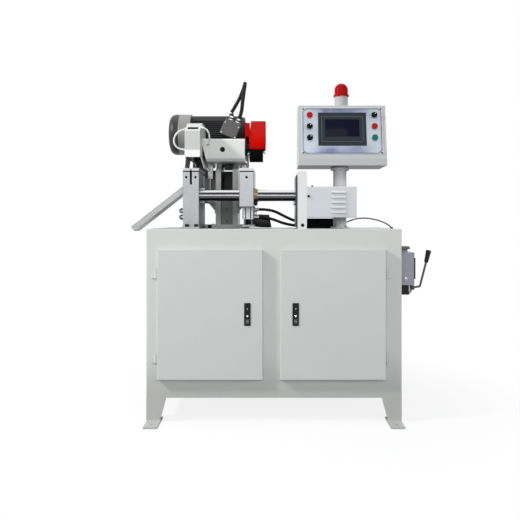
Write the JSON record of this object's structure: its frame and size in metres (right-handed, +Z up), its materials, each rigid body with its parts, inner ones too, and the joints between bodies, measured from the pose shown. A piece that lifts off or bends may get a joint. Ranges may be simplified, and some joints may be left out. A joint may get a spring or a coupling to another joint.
{
  "type": "automatic circular saw machine",
  "caption": "Automatic tube-cutting circular saw on a two-door sheet-metal cabinet, with a pivoting belt-driven saw head, clamping vise, screw-fed bar carriage and a control panel on a post.",
  "frame": {"origin": "on the floor, midway between the four anchor holes of the feet, under the middle of the cabinet", "axes": "+X to the operator's right along the work, +Y to the rear, +Z up"},
  "size_m": [1.4292, 0.9, 1.6172],
  "materials": {
    "cabinet_paint": "fine textured light grey paint",
    "machine_paint": "smooth light grey machine paint",
    "column_paint": "blue-grey casting paint",
    "guard_paint": "light grey sheet paint",
    "red_paint": "gloss red paint",
    "ground_steel": "ground steel",
    "blade_steel": "blade steel",
    "dark_steel": "blackened steel",
    "hard_chrome": "hard chrome",
    "sheet_zinc": "plain sheet steel",
    "bush_bronze": "oiled bronze",
    "bare_aluminium": "bare aluminium",
    "motor_grey": "grey painted aluminium",
    "terminal_grey": "dark grey paint",
    "belt_rubber": "belt rubber",
    "hose_black": "black hose",
    "hose_grey": "grey cable",
    "hose_white": "white hose",
    "black_plastic": "black plastic",
    "face_silver": "brushed face plate",
    "screen_grey": "dark grey screen housing",
    "button_red": "red push button",
    "button_green": "green push button",
    "lens_red": "red lens",
    "beacon_grey": "grey beacon base",
    "tank_silver": "silver paint",
    "device_plastic": "device housings",
    "tank_steel": "coolant tank paint"
  },
  "bodies": {
    "frame": {"cabinet_shell": "cabinet_paint", "legs": "cabinet_paint", "electrical_plate": "device_plastic", "coolant_unit": "tank_steel", "vise_body": "ground_steel", "vise_caps": "ground_steel", "guide_rods": "hard_chrome", "end_plate": "ground_steel", "servo_motor": "black_plastic", "servo_cover": "cabinet_paint", "cable_box": "black_plastic", "saw_column": "column_paint", "pivot_shaft": "ground_steel", "feed_cylinders": "bare_aluminium", "panel_post": "cabinet_paint", "panel_box": "cabinet_paint", "panel_faceplate": "face_silver", "hmi": "screen_grey", "beacon_base": "beacon_grey", "beacon_dome": "lens_red", "lubricator_housing": "tank_silver", "lubricator_pump": "black_plastic", "discharge_chute": "sheet_zinc", "panel_cable": "hose_grey", "carriage_hose": "hose_black"},
    "left_door": {"left_door": "cabinet_paint", "left_latch": "black_plastic"},
    "left_handle": {"left_latch_handle": "black_plastic"},
    "right_door": {"right_door": "cabinet_paint", "right_latch": "black_plastic"},
    "right_handle": {"right_latch_handle": "black_plastic"},
    "vise_jaw": {"vise_jaw": "ground_steel"},
    "carriage": {"carriage_body": "ground_steel", "carriage_cap": "ground_steel", "rod_bushes": "bush_bronze", "gripper_cylinder": "bare_aluminium"},
    "gripper": {"gripper_jaw": "ground_steel"},
    "feed_screw": {"ball_screw": "hard_chrome"},
    "head": {"gear_case": "machine_paint", "drive_belt": "belt_rubber", "belt_guard": "red_paint", "motor_plate": "machine_paint", "motor_frame": "motor_grey", "motor_cowl": "motor_grey", "terminal_box": "terminal_grey", "blade_guard": "guard_paint", "conduit_loop": "hose_black", "coolant_hose": "hose_white"},
    "blade_spindle": {"spindle": "ground_steel", "saw_blade": "blade_steel"},
    "pinion_shaft": {"input_shaft": "dark_steel"},
    "motor_rotor": {"motor_rotor": "dark_steel"},
    "feed_rods": {"feed_rods": "hard_chrome"},
    "left_red_button": {"left_red_button": "button_red"},
    "left_upper_selector": {"left_upper_selector": "black_plastic"},
    "left_lower_selector": {"left_lower_selector": "black_plastic"},
    "right_selector": {"right_selector": "black_plastic"},
    "right_red_button": {"right_red_button": "button_red"},
    "green_button": {"green_button": "button_green"},
    "lubricator_lever": {"lubricator_lever": "dark_steel"}
  },
  "joints": [
    {"name": "left_door_hinge", "type": "hinge", "parent": "frame", "child": "left_door", "pos_m": [-0.531, -0.357, 0.486], "axis": [0, 0, 1], "range_deg": [-110, 0]},
    {"name": "right_door_hinge", "type": "hinge", "parent": "frame", "child": "right_door", "pos_m": [0.509, -0.357, 0.486], "axis": [0, 0, 1], "range_deg": [0, 110]},
    {"name": "left_handle_hinge", "type": "hinge", "parent": "left_door", "child": "left_handle", "pos_m": [-0.119, -0.369, 0.528], "axis": [1, 0, 0], "range_deg": [-70, 0]},
    {"name": "right_handle_hinge", "type": "hinge", "parent": "right_door", "child": "right_handle", "pos_m": [0.097, -0.369, 0.528], "axis": [1, 0, 0], "range_deg": [-70, 0]},
    {"name": "vise_clamp", "type": "slide", "parent": "frame", "child": "vise_jaw", "axis": [0, 0, 1], "range_m": [0, 0.03]},
    {"name": "carriage_slide", "type": "slide", "parent": "frame", "child": "carriage", "axis": [1, 0, 0], "range_m": [-0.15, 0.16], "deforming": ["carriage_hose"]},
    {"name": "gripper_clamp", "type": "slide", "parent": "carriage", "child": "gripper", "axis": [0, 0, 1], "range_m": [0, 0.025]},
    {"name": "screw_spin", "type": "hinge", "parent": "frame", "child": "feed_screw", "pos_m": [0, -0.212, 1.025], "axis": [1, 0, 0], "range_deg": [-2700, 2880]},
    {"name": "head_swing", "type": "hinge", "parent": "frame", "child": "head", "pos_m": [-0.2365, 0.19, 1.205], "axis": [1, 0, 0], "range_deg": [-13, 0]},
    {"name": "feed_rod_slide", "type": "slide", "parent": "frame", "child": "feed_rods", "axis": [0, 0, 1], "range_m": [0, 0.03737]},
    {"name": "blade_spin", "type": "hinge", "parent": "head", "child": "blade_spindle", "pos_m": [-0.381, -0.085, 1.23], "axis": [1, 0, 0], "continuous": true},
    {"name": "pinion_spin", "type": "hinge", "parent": "head", "child": "pinion_shaft", "pos_m": [-0.25, -0.058, 1.26217], "axis": [1, 0, 0], "continuous": true},
    {"name": "rotor_spin", "type": "hinge", "parent": "head", "child": "motor_rotor", "pos_m": [-0.3, 0.145, 1.356], "axis": [1, 0, 0], "continuous": true},
    {"name": "left_red_button_press", "type": "slide", "parent": "frame", "child": "left_red_button", "axis": [0, 0.9772, -0.2124], "range_m": [0, 0.004], "stiffness_N_per_m": 600},
    {"name": "right_red_button_press", "type": "slide", "parent": "frame", "child": "right_red_button", "axis": [0, 0.9772, -0.2124], "range_m": [0, 0.004], "stiffness_N_per_m": 600},
    {"name": "green_button_press", "type": "slide", "parent": "frame", "child": "green_button", "axis": [0, 0.9772, -0.2124], "range_m": [0, 0.004], "stiffness_N_per_m": 600},
    {"name": "left_upper_selector_turn", "type": "hinge", "parent": "frame", "child": "left_upper_selector", "pos_m": [0.1655, -0.26206, 1.34252], "axis": [0, -0.9772, 0.2124], "range_deg": [0, 90]},
    {"name": "left_lower_selector_turn", "type": "hinge", "parent": "frame", "child": "left_lower_selector", "pos_m": [0.1655, -0.27374, 1.28878], "axis": [0, -0.9772, 0.2124], "range_deg": [0, 90]},
    {"name": "right_selector_turn", "type": "hinge", "parent": "frame", "child": "right_selector", "pos_m": [0.4655, -0.25038, 1.39627], "axis": [0, -0.9772, 0.2124], "range_deg": [0, 90]},
    {"name": "lubricator_pull", "type": "hinge", "parent": "frame", "child": "lubricator_lever", "pos_m": [0.65, -0.21, 0.592], "axis": [1, 0, 0], "range_deg": [0, 80]}
  ],
  "couplings": [
    {"joint": "screw_spin", "follows": "carriage_slide", "rad_per_m": 314.16},
    {"joint": "feed_rod_slide", "follows": "head_swing", "m_per_rad": -0.16471},
    {"joint": "pinion_spin", "follows": "blade_spin", "ratio": -2},
    {"joint": "rotor_spin", "follows": "blade_spin", "ratio": -3.3143}
  ]
}
